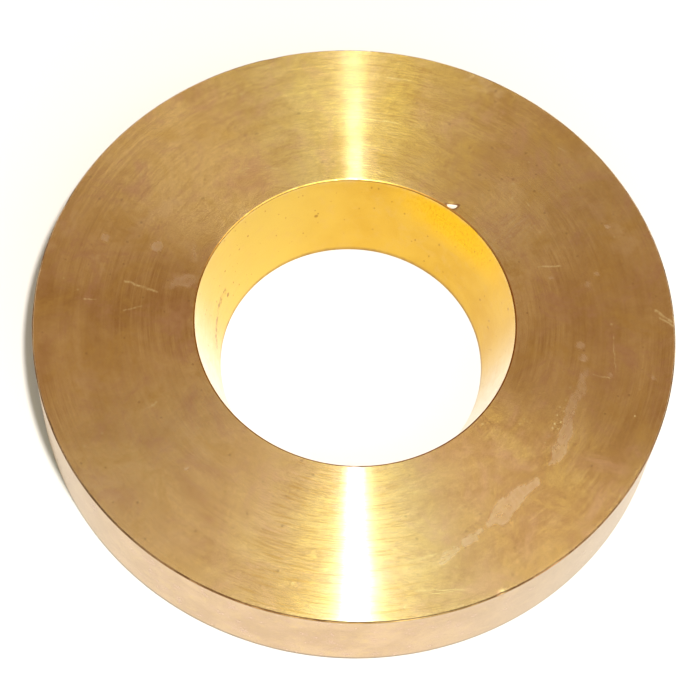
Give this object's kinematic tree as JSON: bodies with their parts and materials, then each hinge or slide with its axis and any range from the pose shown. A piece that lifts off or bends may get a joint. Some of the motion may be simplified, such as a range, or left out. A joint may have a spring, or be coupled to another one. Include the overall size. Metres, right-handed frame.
{
  "type": "tapered bore bushing",
  "caption": "Thick turned bronze ring with a straight-tapered bore, pressed into or rested on a housing as a wearing bush or spacer around a shaft.",
  "frame": {"origin": "centre of the bottom face, on the bore axis; the bottom face is the one with the small end of the bore", "axes": "+Z along the bore axis, from the small end of the bore to its large end; X and Y are equivalent"},
  "size_m": [0.075, 0.075, 0.012],
  "materials": {
    "turned_bronze": "fine turned, lightly tarnished"
  },
  "bodies": {
    "root": {"bushing_ring": "turned_bronze"}
  },
  "joints": []
}
